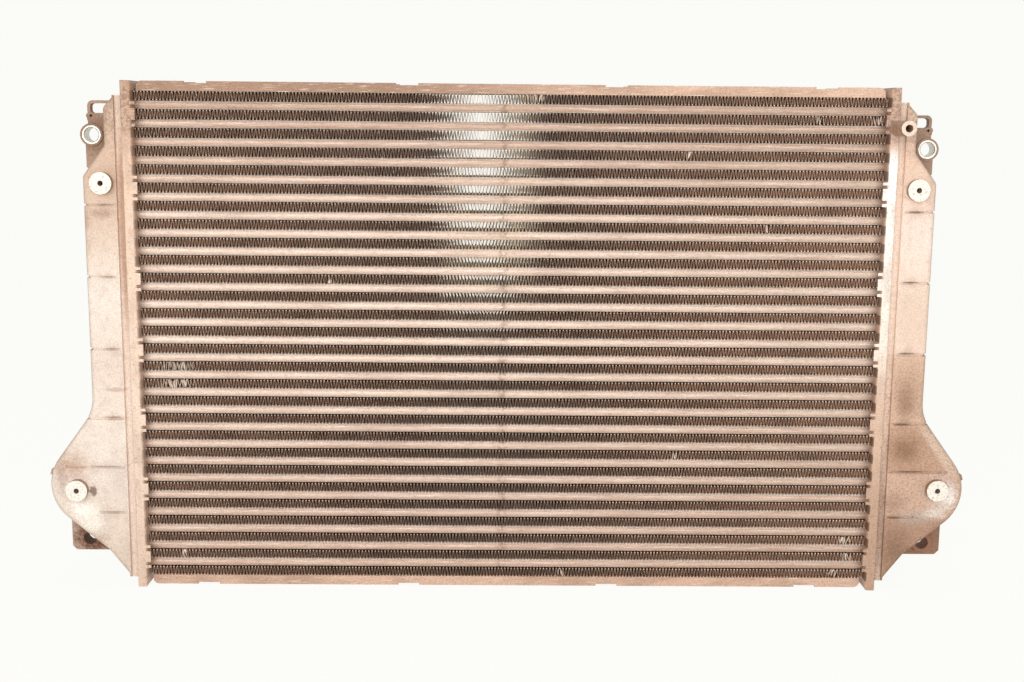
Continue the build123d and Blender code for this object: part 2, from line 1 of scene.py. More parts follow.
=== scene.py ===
"""An intercooler: a brazed tube-and-fin core between two cast aluminium end tanks.

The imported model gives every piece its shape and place. This script gives the pieces their
finishes, makes the fine corrugated fins between the tubes, and sets a plain studio round them.
"""
import logging
import math
from collections.abc import Mapping, Sequence
from dataclasses import dataclass
from enum import Enum

import bpy
from mathutils import Matrix, Vector


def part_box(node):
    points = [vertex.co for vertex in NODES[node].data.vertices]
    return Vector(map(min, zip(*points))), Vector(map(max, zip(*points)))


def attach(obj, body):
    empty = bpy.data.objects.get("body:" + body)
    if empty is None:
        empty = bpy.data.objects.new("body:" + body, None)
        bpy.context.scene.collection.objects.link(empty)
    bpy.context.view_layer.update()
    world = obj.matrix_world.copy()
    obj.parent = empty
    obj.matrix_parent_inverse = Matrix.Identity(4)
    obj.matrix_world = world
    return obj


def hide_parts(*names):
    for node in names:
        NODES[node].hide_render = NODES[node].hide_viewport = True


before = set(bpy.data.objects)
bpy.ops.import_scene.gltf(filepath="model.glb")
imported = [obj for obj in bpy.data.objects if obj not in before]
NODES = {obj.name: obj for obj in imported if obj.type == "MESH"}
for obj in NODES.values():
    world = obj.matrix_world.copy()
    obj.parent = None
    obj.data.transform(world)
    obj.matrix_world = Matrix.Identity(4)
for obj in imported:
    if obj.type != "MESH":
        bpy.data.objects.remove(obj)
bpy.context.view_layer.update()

MM = 0.001
HEIGHT = 472.0
MIDDLE = HEIGHT / 2
ROW_COUNT = 28
TUBE_COUNT = 27
ROW_STEP = 16.5
ROW_HEIGHT = 8.5
ROW_MIDDLE = MIDDLE + ROW_STEP / 2

log = logging.getLogger("intercooler")

Point = tuple[float, float, float]
Stops = Sequence[tuple[float, str]]


class Side(Enum):
    """The two ends of the core, as seen from the front."""

    LEFT = "left"
    RIGHT = "right"


def linear(colour: str) -> tuple[float, float, float, float]:
    """Turn an sRGB hex colour into linear RGBA.

    Args:
        colour: Six hex digits after a hash sign.

    Returns:
        Linear red, green and blue, and an alpha of 1.
    """
    parts = [int(colour[i:i + 2], 16) / 255 for i in (1, 3, 5)]
    return (*(c / 12.92 if c <= 0.04045 else ((c + 0.055) / 1.055) ** 2.4 for c in parts), 1.0)


def add(
    tree: bpy.types.NodeTree,
    kind: str,
    inputs: Mapping[str | int, object] | None = None,
    stops: Stops = (),
    **settings: object,
) -> bpy.types.Node:
    """Add a node to a tree, with its settings, values and links.

    Args:
        tree: Node tree of a material, a world or a modifier.
        kind: Blender's name of the node type.
        inputs: A value, hex colour, node or socket for each input, by name or number.
        stops: Place and hex colour of each stop, where the node holds a colour ramp.
        **settings: Properties of the node, set before its inputs.

    Returns:
        The new node.
    """
    node = tree.nodes.new(kind)
    for name, value in settings.items():
        setattr(node, name, value)
    for i, (place, colour) in enumerate(stops):
        elements = node.color_ramp.elements
        stop = elements[i] if i < 2 else elements.new(place)
        stop.position = place
        stop.color = linear(colour)
    for key, value in (inputs or {}).items():
        named = [s for s in node.inputs if s.name == key and not s.is_unavailable]
        socket = node.inputs[key] if isinstance(key, int) else named[0]
        if isinstance(value, bpy.types.Node):
            value = next(s for s in value.outputs if not s.is_unavailable)
        if isinstance(value, bpy.types.NodeSocket):
            tree.links.new(value, socket)
        else:
            socket.default_value = linear(value) if isinstance(value, str) else value
    return node


@dataclass(frozen=True)
class Blot:
    """A soft-edged patch of dirt, wear, bare metal or painted shade.

    Attributes:
        at: Its centre on the part, in mm.
        reach: Its half sizes, in mm.
        colour: The colour at its centre.
        strength: How far it covers what is under it, from 0 to 1.
        soft: The share of its reach over which it fades.
        ragged: How far its edge wanders, as a share of its reach.
    """

    at: Point
    reach: Point
    colour: str
    strength: float = 0.7
    soft: float = 0.6
    ragged: float = 0.5


class Canvas:
    """A new material's node tree, with the place on the part in millimetres at hand."""

    def __init__(self, name: str) -> None:
        """Start an empty material.

        Args:
            name: The real finish that the material stands for.
        """
        self.material = bpy.data.materials.new(name)
        self.material.use_nodes = True
        self.tree = self.material.node_tree
        self.tree.nodes.clear()
        coords = add(self.tree, "ShaderNodeTexCoord").outputs["Object"]
        self.place = add(
            self.tree, "ShaderNodeVectorMath", {0: coords, "Scale": 1 / MM}, operation="SCALE"
        ).outputs[0]
        split = add(self.tree, "ShaderNodeSeparateXYZ", {0: self.place})
        self.x, self.y, self.z = split.outputs
        self.across = add(self.tree, "ShaderNodeMath", {0: self.x}, operation="ABSOLUTE").outputs[0]

    def between(self, value: object, start: float, end: float) -> bpy.types.NodeSocket:
        """A mask that rises smoothly from 0 at start to 1 at end.

        Args:
            value: The socket that is measured.
            start: Where the mask is 0.
            end: Where the mask is 1.

        Returns:
            The mask.
        """
        return add(
            self.tree,
            "ShaderNodeMapRange",
            {"Value": value, "From Min": start, "From Max": end},
            interpolation_type="SMOOTHSTEP",
        ).outputs[0]

    def patches(
        self, size: float, low: float, high: float, stretch: Point = (1, 1, 1), detail: float = 4
    ) -> bpy.types.NodeSocket:
        """A mask of irregular patches.

        Args:
            size: Width of one patch, in mm.
            low: Noise value at which the mask is 0.
            high: Noise value at which the mask is 1.
            stretch: How much longer a patch is along each axis.
            detail: How many finer layers the noise has.

        Returns:
            The mask.
        """
        shrink = tuple(1 / s for s in stretch)
        spot = add(
            self.tree, "ShaderNodeVectorMath", {0: self.place, 1: shrink}, operation="MULTIPLY"
        )
        noise = add(
            self.tree, "ShaderNodeTexNoise", {"Vector": spot, "Scale": 1 / size, "Detail": detail}
        )
        return self.between(noise, low, high)

    def by_height(self, stops: Stops) -> bpy.types.NodeSocket:
        """A colour that changes from the foot of the part to its top.

        Args:
            stops: Share of the height and colour of each stop.

        Returns:
            The colour.
        """
        height = self.maths("DIVIDE", self.z, HEIGHT)
        return add(self.tree, "ShaderNodeValToRGB", {0: height}, stops=stops).outputs[0]

    def off_nearest(self, middle: float) -> bpy.types.NodeSocket:
        """Measure the height above or below the nearest tube, or the nearest row of fins.

        Args:
            middle: Height of the middle of any one of them, in mm.

        Returns:
            The distance from the nearest one's middle, in mm.
        """
        offset = self.maths("SUBTRACT", self.z, middle)
        return self.maths("PINGPONG", offset, ROW_STEP / 2)

    def maths(self, operation: str, *values: object) -> bpy.types.NodeSocket:
        """Work out one value from others.

        Args:
            operation: Blender's name of the operation.
            *values: Sockets or numbers, in the operation's order.

        Returns:
            The result.
        """
        inputs = dict(enumerate(values))
        return add(self.tree, "ShaderNodeMath", inputs, operation=operation).outputs[0]

    def over(
        self, under: object, colour: object, mask: object, strength: float = 1.0
    ) -> bpy.types.NodeSocket:
        """Lay a colour over another through a mask.

        Args:
            under: The colour beneath.
            colour: The colour on top.
            mask: Where the top colour shows.
            strength: How much of it shows there.

        Returns:
            The mixed colour.
        """
        share = add(self.tree, "ShaderNodeMath", {0: mask, 1: strength}, operation="MULTIPLY")
        return add(
            self.tree,
            "ShaderNodeMix",
            {"Factor": share, "A": under, "B": colour},
            data_type="RGBA",
        ).outputs[2]

    def grained(self, colour: object, size: float, amount: float) -> bpy.types.NodeSocket:
        """Lighten and darken a colour in fine grains.

        Args:
            colour: The colour beneath.
            size: Width of a grain, in mm.
            amount: How far its brightness swings.

        Returns:
            The grainy colour.
        """
        noise = add(
            self.tree,
            "ShaderNodeTexNoise",
            {"Vector": self.place, "Scale": 1 / size, "Detail": 2.0, "Roughness": 0.7},
        )
        value = self.maths("MULTIPLY_ADD", noise, amount, 1 - amount / 2)
        return add(
            self.tree, "ShaderNodeHueSaturation", {"Value": value, "Color": colour}
        ).outputs[0]

    def blotted(self, colour: object, blots: Sequence[Blot]) -> bpy.types.NodeSocket:
        """Lay patches of dirt, wear and painted shade over a colour.

        Args:
            colour: The colour beneath.
            blots: The patches, lowest first.

        Returns:
            The colour with the patches on it.
        """
        wander = add(
            self.tree, "ShaderNodeTexNoise", {"Vector": self.place, "Scale": 0.35, "Detail": 4}
        )
        for blot in blots:
            centred = add(
                self.tree, "ShaderNodeVectorMath", {0: self.place, 1: blot.at}, operation="SUBTRACT"
            )
            scaled = add(
                self.tree, "ShaderNodeVectorMath", {0: centred, 1: blot.reach}, operation="DIVIDE"
            )
            away = add(self.tree, "ShaderNodeVectorMath", {0: scaled}, operation="LENGTH")
            shifted = add(
                self.tree,
                "ShaderNodeMath",
                {0: wander, 1: 2 * blot.ragged, 2: away.outputs["Value"]},
                operation="MULTIPLY_ADD",
            )
            edge = 1 + blot.ragged
            mask = self.between(shifted, edge, edge - blot.soft)
            colour = self.over(colour, blot.colour, mask, blot.strength)
        return colour

    def close(
        self,
        colour: object,
        roughness: object,
        metallic: object = 0.0,
        height: object | None = None,
        depth: float = 0.1,
    ) -> bpy.types.Material:
        """Join the colour, gloss and relief to a surface shader.

        Args:
            colour: The finish's colour.
            roughness: Its roughness.
            metallic: How far it reflects as bare metal.
            height: Relief from 0 to 1, if it has any.
            depth: Depth of the relief, in mm.

        Returns:
            The finished material.
        """
        inputs = {"Base Color": colour, "Roughness": roughness, "Metallic": metallic}
        if height is not None:
            inputs["Normal"] = add(
                self.tree, "ShaderNodeBump", {"Height": height, "Distance": depth * MM}
            )
        shader = add(self.tree, "ShaderNodeBsdfPrincipled", inputs)
        add(self.tree, "ShaderNodeOutputMaterial", {"Surface": shader})
        return self.material


@dataclass(frozen=True)
class SandCastAluminium:
    """Sand-cast aluminium with road dust baked on: a pale, grainy, dull skin with brown stains.

    Attributes:
        name: The finish's name.
        tones: Colour of the skin from the foot of the tank to its top.
        wall: Colour of the surfaces behind the front face: dust and painted shade.
        valley: Paler colour painted into the throat between the tank's body and the header plate:
            painted light.
        slope: How strongly the painted highlight along the edge of the slope above the bulge shows.
        grime: How strongly oily specks show on the lower half.
        blots: Stains, scuffs and patches of painted shade.
        throat: Where the throat beside the header plate ends, in mm from the middle.
        boss_face: Depth of the bosses' machined faces, in mm.
        pillar_face: Depth of the pillar's machined face, in mm.
    """

    name: str
    tones: Stops
    wall: str
    valley: str
    slope: float
    grime: float
    blots: tuple[Blot, ...]
    throat: float = 357.0
    boss_face: float = -37.5
    pillar_face: float = -69.0

    def material(self) -> bpy.types.Material:
        """Build the finish.

        Returns:
            The material.
        """
        canvas = Canvas(self.name)
        colour = canvas.by_height(self.tones)
        # Dust lies in soft clouds and small patches, thickest at the top.
        colour = canvas.over(colour, "#8E6E5A", canvas.patches(34, 0.45, 0.75, (1, 1, 1.6)), 0.2)
        colour = canvas.over(colour, "#B08E79", canvas.patches(7, 0.5, 0.7), 0.17)
        upper = canvas.between(canvas.z, 395, 440)
        caked = canvas.maths("MULTIPLY", upper, canvas.patches(3, 0.4, 0.6))
        colour = canvas.over(colour, "#8F705C", caked, 0.5)
        # The throat is painted paler, as painted light that lifts the shade in it.
        valley = canvas.between(canvas.across, self.throat + 0.4, self.throat - 0.4)
        colour = canvas.over(colour, self.valley, valley, 0.7)
        # The surfaces behind the front face, beside the throat, are painted darker: dust and painted
        # shade.
        beside = canvas.between(canvas.across, self.throat, self.throat + 2.0)
        recess_dust_and_shade = canvas.maths("MULTIPLY", canvas.between(canvas.y, -30.0, -26.5), beside)
        colour = canvas.over(colour, self.wall, recess_dust_and_shade, 0.7)
        colour = canvas.blotted(colour, self.blots)
        # A highlight is painted pale along the edge of the slope above the bulge.
        slant = canvas.maths("MULTIPLY_ADD", canvas.z, 0.69, canvas.across)
        below = canvas.between(canvas.z, 170, 150)
        span = canvas.maths("MULTIPLY", below, canvas.between(canvas.z, 108, 122))
        painted_edge_highlight = canvas.maths("MULTIPLY", canvas.between(slant, 491, 496), span)
        colour = canvas.over(colour, "#F2DCCB", painted_edge_highlight, self.slope)
        # Oily grime clings in specks to the lower half.
        lower = canvas.between(canvas.z, 245, 205)
        grime = canvas.maths("MULTIPLY", lower, canvas.patches(1.9, 0.5, 0.62))
        colour = canvas.over(colour, "#6B4E3A", grime, self.grime)
        # Casting sand is about 0.3 mm; it is drawn coarser, because that doesn't show.
        colour = canvas.grained(colour, 1.1, 0.85)
        # The flanks of the bosses and the pillar are painted darker, with dust and painted shade, the
        # pillar's in patches.
        flank_dust_and_shade = canvas.between(canvas.y, -31.0, -32.0)
        colour = canvas.over(colour, "#8C6D5A", flank_dust_and_shade, 0.75)
        pillar_dust_and_shade = canvas.over("#C39F86", "#8C6C57", canvas.patches(4, 0.42, 0.62), 0.6)
        colour = canvas.over(colour, pillar_dust_and_shade, canvas.between(canvas.y, -38.5, -42.0), 0.85)
        # The machined faces are bare and pale, with specks of dirt in the tool marks.
        boss = canvas.between(canvas.y, self.boss_face + 0.6, self.boss_face + 0.3)
        beyond = canvas.between(canvas.y, self.boss_face - 0.3, self.boss_face - 0.6)
        pillar = canvas.between(canvas.y, self.pillar_face + 0.6, self.pillar_face + 0.3)
        faced = canvas.maths("ADD", canvas.maths("SUBTRACT", boss, beyond), pillar)
        bare = canvas.over("#F4EDE2", "#A89483", canvas.patches(2.2, 0.54, 0.66), 0.6)
        bare = canvas.over(bare, "#DABDA7", canvas.between(canvas.y, -60, -64), 0.7)
        colour = canvas.over(colour, bare, faced)
        rough = canvas.maths("MULTIPLY_ADD", faced, -0.25, 0.66)
        return canvas.close(colour, rough, 0.1, canvas.patches(2.0, 0.3, 0.7, detail=3), 0.28)


@dataclass(frozen=True)
class BrazedTubeSheet:
    """Brazed aluminium tube: satin metal under a film of dust, streaked along its length.

    Attributes:
        name: The finish's name.
        tones: Colour of the tubes from the lowest to the top one.
        header_face: Where the tubes enter the header plates, in mm from the middle.
        stain_at: Place along the tubes of a line of small stains, in mm.
    """

    name: str = "brazed_aluminium_tube"
    tones: Stops = (
        (0.0, "#C3A491"),
        (0.3, "#D3B8A6"),
        (0.5, "#E4CCBC"),
        (0.75, "#DCC3B2"),
        (0.9, "#C4A592"),
        (1.0, "#B89883"),
    )
    header_face: float = 343.5
    stain_at: float = -6.5

    def material(self) -> bpy.types.Material:
        """Build the finish.

        Returns:
            The material.
        """
        canvas = Canvas(self.name)
        colour = canvas.by_height(self.tones)
        colour = canvas.over(colour, "#A58874", canvas.between(canvas.x, -40, 330), 0.24)
        # The rounded edges are drawn paler than the front, so that the tubes look as bright there.
        rounded = canvas.between(canvas.off_nearest(MIDDLE), 2.3, 3.6)
        colour = canvas.over(colour, "#FFF5EC", rounded, 0.85)
        colour = canvas.over(colour, "#9F7E6A", canvas.patches(26, 0.42, 0.72, (3, 1, 0.45)), 0.34)
        colour = canvas.over(colour, "#F9E8DA", canvas.patches(0.9, 0.45, 0.7, (30, 1, 1)), 0.35)
        colour = canvas.over(colour, "#8D6E5B", canvas.patches(1.8, 0.57, 0.7, (3, 1, 1)), 0.3)
        # The tubes are painted darker where they enter the header plates, as painted shade.
        ends = canvas.between(canvas.across, self.header_face - 13, self.header_face - 3)
        colour = canvas.over(colour, "#6E5140", ends, 0.5)
        off_stain = canvas.maths("ABSOLUTE", canvas.maths("SUBTRACT", canvas.x, self.stain_at))
        stain = canvas.maths("MULTIPLY", canvas.between(off_stain, 7, 0.5), canvas.patches(4, 0.4, 0.62))
        colour = canvas.over(colour, "#8A6B58", stain, 0.6)
        colour = canvas.grained(colour, 1.0, 1.15)
        return canvas.close(colour, 0.5, 0.2, canvas.patches(1.3, 0.3, 0.7, (2, 1, 1), 2), 0.14)


@dataclass(frozen=True)
class RolledFinStrip:
    """Rolled aluminium fin strip: pale on its crests, dark brown further in with dust and painted shade.

    Attributes:
        name: The finish's name.
        face: Depth of the strips' front and back edges from the middle, in mm.
        lit_at: Place along the strips of the middle of the stretch drawn as lit, in mm.
        shades: How bright the strips are from the lowest row to the top one, as greys.
        blots: Places where knocked fins show bare metal.
    """

    name: str = "rolled_aluminium_fin_strip"
    face: float = 24.0
    lit_at: float = -20.0
    shades: Stops = (
        (0.0, "#9A9A9A"),
        (0.25, "#949494"),
        (0.5, "#B4B4B4"),
        (0.8, "#B0B0B0"),
        (0.9, "#8C8C8C"),
        (1.0, "#8C8C8C"),
    )
    blots: tuple[Blot, ...] = ()

    def material(self) -> bpy.types.Material:
        """Build the finish.

        Returns:
            The material.
        """
        canvas = Canvas(self.name)
        depth = canvas.maths("ABSOLUTE", canvas.y)
        level = canvas.off_nearest(ROW_MIDDLE)
        half_row = ROW_HEIGHT / 2
        crest = canvas.between(level, half_row - 1.4, half_row - 0.5)
        edge = canvas.over("#92725D", "#ECD3C0", crest)
        front = canvas.between(depth, self.face - 2.2, self.face - 0.2)
        # Further in, the strips are painted dark brown, darkest next to the tubes: dust and painted
        # shade.
        inside = canvas.over("#866652", "#4A3022", canvas.between(level, 1.8, half_row - 0.6))
        colour = canvas.over(inside, edge, front)
        # A stretch of the upper rows is drawn pale and glossy, so that it looks lit from behind.
        aside = canvas.maths("ABSOLUTE", canvas.maths("SUBTRACT", canvas.x, self.lit_at))
        upper = canvas.between(canvas.z, 235, 330)
        stretch = canvas.maths("MULTIPLY", canvas.between(aside, 58, 22), upper)
        behind_front = canvas.between(canvas.y, -23.5, -20)
        within = canvas.maths("MULTIPLY", behind_front, canvas.between(canvas.y, 18, 12))
        lit = canvas.maths("MULTIPLY", stretch, within)
        pale = canvas.maths("MULTIPLY", stretch, canvas.between(canvas.y, -10, -16))
        colour = canvas.over(colour, "#F0DDBE", pale, 0.62)
        # The strips are darker in the top rows and lighter from the middle to the right.
        shade = canvas.by_height(self.shades)
        bright = canvas.maths("MULTIPLY_ADD", canvas.between(canvas.x, -60, 160), 0.25, shade)
        bright = canvas.maths("ADD", bright, 0.9)
        colour = add(
            canvas.tree, "ShaderNodeHueSaturation", {"Value": bright, "Color": colour}
        ).outputs[0]
        colour = canvas.over(colour, "#4A3022", canvas.patches(13, 0.4, 0.7, (2, 1, 1)), 0.3)
        colour = canvas.over(colour, "#FFF1E2", canvas.patches(1.4, 0.54, 0.64), 0.5)
        colour = canvas.over(colour, "#F4E5C6", lit, 0.9)
        colour = canvas.blotted(colour, self.blots)
        rough = canvas.maths("MULTIPLY_ADD", lit, -0.2, 0.5)
        metal = canvas.maths("MULTIPLY_ADD", lit, 0.6, 0.2)
        return canvas.close(colour, rough, metal, canvas.patches(0.8, 0.3, 0.7, (1, 8, 1), 2), 0.04)


@dataclass(frozen=True)
class InnerFinStrip:
    """Clean rolled aluminium inside the tubes, where the tanks hide it."""

    name: str = "clean_aluminium_strip"

    def material(self) -> bpy.types.Material:
        """Build the finish.

        Returns:
            The material.
        """
        canvas = Canvas(self.name)
        marks = canvas.patches(1.2, 0.35, 0.7, (20, 1, 1))
        colour = canvas.over("#C9C4BE", "#A49D95", marks, 0.5)
        return canvas.close(colour, 0.35, 0.8, marks, 0.03)


@dataclass(frozen=True)
class FoldedSideSheet:
    """Folded aluminium sheet: dull with dust in patches, and scratched along its length.

    Attributes:
        name: The finish's name.
        low: Colour of the bottom plate.
        high_left: Colour of the top plate's left end.
        high_right: Colour of the top plate's right end.
    """

    name: str = "folded_aluminium_sheet"
    low: str = "#CFAD97"
    high_left: str = "#A07E68"
    high_right: str = "#D0AE97"

    def material(self) -> bpy.types.Material:
        """Build the finish.

        Returns:
            The material.
        """
        canvas = Canvas(self.name)
        top = canvas.over(self.high_left, self.high_right, canvas.between(canvas.x, -120, 200))
        colour = canvas.over(self.low, top, canvas.between(canvas.z, 100, 400))
        colour = canvas.over(colour, "#8C6C58", canvas.patches(20, 0.42, 0.66, (2.5, 1, 1)), 0.4)
        colour = canvas.over(colour, "#F4DFCD", canvas.patches(0.8, 0.56, 0.66, (22, 6, 1)), 0.5)
        colour = canvas.over(colour, "#6F5240", canvas.patches(2.2, 0.58, 0.7), 0.45)
        colour = canvas.grained(colour, 1.1, 1.0)
        return canvas.close(colour, 0.52, 0.2, canvas.patches(2.4, 0.3, 0.7), 0.2)


@dataclass(frozen=True)
class PressedHeaderSheet:
    """Pressed aluminium sheet: pale on its bent edge, brown where dust lies against the core.

    Attributes:
        name: The finish's name.
        tones: Colour of the bent edge from the foot of the plate to its top.
        front: Depth of the bent edge from the middle, in mm.
        soot: How far dust from the air stream covers the inner face.
        inner_edge: Where the plate turns from its bent edge towards the core, in mm.
    """

    name: str
    tones: Stops
    soot: float
    front: float = 33.0
    inner_edge: float = 343.3

    def material(self) -> bpy.types.Material:
        """Build the finish.

        Returns:
            The material.
        """
        canvas = Canvas(self.name)
        colour = canvas.by_height(self.tones)
        colour = canvas.over(colour, "#A98B76", canvas.patches(11, 0.45, 0.7, (1, 1, 2)), 0.35)
        colour = canvas.over(colour, "#7D5F4C", canvas.patches(2.0, 0.58, 0.7), 0.4)
        upper = canvas.between(canvas.z, 415, 435)
        caked = canvas.maths("MULTIPLY", upper, canvas.patches(2.5, 0.42, 0.6))
        colour = canvas.over(colour, "#846551", caked, 0.6)
        # Dust from the air stream draws the rows of fins on the plate's inner face.
        row = canvas.between(canvas.off_nearest(ROW_MIDDLE), 5.0, 3.8)
        streaks = canvas.over("#C6A690", "#6E5240", row)
        inside = canvas.between(canvas.across, self.inner_edge + 0.5, self.inner_edge - 0.3)
        depth = canvas.maths("ABSOLUTE", canvas.y)
        behind = canvas.between(depth, self.front - 0.1, self.front - 0.5)
        colour = canvas.over(colour, streaks, canvas.maths("MULTIPLY", inside, behind), self.soot)
        colour = canvas.grained(colour, 1.1, 1.0)
        return canvas.close(colour, 0.5, 0.2, canvas.patches(1.8, 0.3, 0.7), 0.22)


@dataclass(frozen=True)
class ZincPlatedSteel:
    """Zinc-plated steel: a cool grey-green sheen with small brown specks of rust."""

    name: str = "zinc_plated_steel"

    def material(self) -> bpy.types.Material:
        """Build the finish.

        Returns:
            The material.
        """
        canvas = Canvas(self.name)
        clouds = canvas.patches(5, 0.4, 0.65)
        colour = canvas.over("#E2E0D6", "#B3B09F", clouds, 0.6)
        specks = canvas.patches(1.6, 0.6, 0.7)
        colour = canvas.over(colour, "#8A6349", specks, 0.6)
        return canvas.close(colour, 0.36, 0.6, clouds, 0.03)


@dataclass(frozen=True)
class MouldedRubber:
    """Moulded black rubber with a dusty bloom, hidden between each tank and its header plate."""

    name: str = "moulded_black_rubber"

    def material(self) -> bpy.types.Material:
        """Build the finish.

        Returns:
            The material.
        """
        canvas = Canvas(self.name)
        bloom = canvas.patches(6, 0.4, 0.7)
        colour = canvas.over("#2B2622", "#5E5046", bloom, 0.5)
        return canvas.close(colour, 0.75, 0.0, canvas.patches(1.5, 0.3, 0.7), 0.05)


def groove_lines_and_shade(side: int, lines: Sequence[tuple[float, float]], strength: float) -> tuple[Blot, ...]:
    """Dark lines along a tank's grooves, each on a wide soft band of painted shade.

    Args:
        side: -1 for the left tank, 1 for the right one.
        lines: Height of each groove and where it ends beside the tank's outer wall, in mm.
        strength: How dark the lines and the painted shade are.

    Returns:
        A thin dark line for each groove, on a wide soft band of painted shade.
    """
    start = 358
    # The first coat is the wide band of painted shade, the second the thin dark line.
    coats = ((9.0, "#A07C65", 0.5, 1.2), (1.5, "#7A5A48", 1.0, 0.7))
    return tuple(
        Blot(
            (side * (start + end) / 2, -30, z),
            ((end - start) / 2, 4, high),
            colour,
            strength * share,
            soft,
            0.25,
        )
        for high, colour, share, soft in coats
        for z, end in lines
    )


LEFT_BLOTS = (
    # Stain that has run down under the upper boss.
    Blot((-372, -30, 353), (20, 12, 8), "#AF8B75", 0.7, 1.0),
    Blot((-388, -30, 345), (10, 12, 12), "#AF8B75", 0.6, 1.0),
    Blot((-364, -30, 383), (14, 12, 24), "#C4A28B", 0.45, 0.9),
    # Painted shade on the right flank of the lower boss, then scuffs and dirt round it.
    Blot((-389.6, -30, 93.5), (4, 9, 6.5), "#6E5343", 0.8, 0.5, 0.6),
    Blot((-400, -30, 74), (19, 10, 12), "#FFFBF3", 0.75, 0.8),
    Blot((-392, -30, 62), (16, 10, 16), "#FFFAF0", 0.6, 0.8),
    Blot((-408, -28, 117), (21, 16, 20), "#BE977D", 0.75, 1.0),
    Blot((-366, -30, 163), (16, 8, 3), "#B48F78", 0.45),
    Blot((-364, -30, 190), (14, 8, 3), "#B48F78", 0.5),
    Blot((-419, -28, 112), (9, 16, 32), "#A5826C", 0.55, 0.9),
    # A brown strip of painted shade in the throat beside the header plate's rim.
    Blot((-353, -27, 335), (5, 20, 125), "#B48B71", 0.8, 0.7, 0.2),
    # A darker patch low on the tank, behind its front face.
    Blot((-392, -12, 40), (26, 26, 26), "#8E6855", 0.6),
    # Rusty grime on the lower bracket and the upper eye.
    Blot((-404, 20, 36), (26, 34, 24), "#67371A", 0.92),
    Blot((-386, 10, 424), (24, 40, 26), "#8A6A56", 0.75),
)
RIGHT_BLOTS = (
    Blot((374, -30, 262), (22, 14, 40), "#E3C6B1", 0.5),
    # Oily dust caught between the grooves of the lower half.
    Blot((371, -30, 190), (20, 12, 42), "#936C50", 0.65, 1.2, 0.3),
    Blot((370, -30, 180), (13, 12, 26), "#7A563B", 0.4, 1.2, 0.3),
    Blot((373, -30, 140), (27, 12, 24), "#936C50", 0.8, 1.1, 0.3),
    Blot((374, -30, 134), (20, 12, 15), "#7A563B", 0.45, 1.2, 0.3),
    Blot((366, -30, 86), (19, 14, 18), "#94725A", 0.5, 1.1),
    Blot((368, -30, 40), (26, 16, 34), "#7E5E48", 0.7, 1.1),
    # Scuffed grey-white patch round and under the lower boss.
    Blot((409, -30, 96), (22, 12, 25), "#E0D2C8", 0.65, 0.9, 0.5),
    Blot((386, -30, 71), (26, 12, 11), "#B7A79D", 0.7, 0.9, 0.6),
    Blot((416, -30, 93), (12, 12, 17), "#FBF3ED", 0.85, 0.8, 0.5),
    Blot((404, -30, 76), (15, 12, 8), "#EFE6DF", 0.6, 0.8, 0.6),
    Blot((353.5, -27, 70), (6, 20, 85), "#A98A75", 0.75, 0.8, 0.2),
    Blot((404, 20, 36), (26, 34, 24), "#9C6E54", 0.88),
    Blot((386, 10, 418), (24, 40, 26), "#A08270", 0.6),
)
LEFT_GROOVES = ((360.8, 380), (295, 378), (228.1, 378), (163.7, 378), (116.2, 398), (72.2, 386))
RIGHT_GROOVES = ((360.3, 382), (295.8, 380), (229.4, 380), (161.7, 380), (116.3, 400), (71.2, 374))
TANK_FINISHES = {
    Side.LEFT: SandCastAluminium(
        "sand_cast_aluminium_left",
        (
            (0.0, "#DAC6B4"),
            (0.2, "#E9D9CD"),
            (0.3, "#F2E3D7"),
            (0.45, "#E8D5C8"),
            (0.6, "#F1E2D6"),
            (0.72, "#DEC5B2"),
            (0.86, "#D9BBA5"),
            (1.0, "#C4A692"),
        ),
        "#A98A75",
        "#EED9C9",
        0.1,
        0.04,
        LEFT_BLOTS + groove_lines_and_shade(-1, LEFT_GROOVES, 0.45),
    ),
    Side.RIGHT: SandCastAluminium(
        "sand_cast_aluminium_right",
        (
            (0.0, "#B08C75"),
            (0.14, "#B48F78"),
            (0.16, "#CFAD97"),
            (0.24, "#D2B09A"),
            (0.25, "#C29D84"),
            (0.335, "#CAA58C"),
            (0.35, "#DBB9A2"),
            (0.475, "#DBB9A1"),
            (0.49, "#EED5C4"),
            (0.62, "#F2DBCA"),
            (0.72, "#F5E0D4"),
            (0.86, "#E9C9B2"),
            (1.0, "#D8BBA6"),
        ),
        "#8A6B58",
        "#EAD3C2",
        0.4,
        0.3,
        RIGHT_BLOTS + groove_lines_and_shade(1, RIGHT_GROOVES, 0.8),
    ),
}
BAND_TONES = {
    Side.LEFT: (
        (0.0, "#D9BDA9"),
        (0.3, "#E7CFBD"),
        (0.6, "#E6CBB7"),
        (0.85, "#DCBEA8"),
        (0.91, "#C4A38D"),
        (1.0, "#BA977F"),
    ),
    Side.RIGHT: (
        (0.0, "#B8967F"),
        (0.17, "#BF9E87"),
        (0.3, "#D3B49D"),
        (0.4, "#DABBA6"),
        (0.5, "#F3E4D7"),
        (0.86, "#FDF7F1"),
        (0.895, "#CFAF9B"),
        (1.0, "#C6A692"),
    ),
}
SOOT = {Side.LEFT: 0.45, Side.RIGHT: 0.9}


def dress(node: str, finish: bpy.types.Material) -> None:
    """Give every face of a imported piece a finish.

    Args:
        node: The piece's name.
        finish: Its material.
    """
    piece = NODES[node]
    if not piece.material_slots:
        piece.data.materials.append(finish)
    for slot in piece.material_slots:
        slot.material = finish
    log.info("%s wears %s", node, finish.name)


@dataclass(frozen=True)
class Dent:
    """A place where fins have been knocked over.

    Attributes:
        at: Its centre on the part, in mm.
        reach: Its half sizes, in mm.
    """

    at: Point
    reach: Point


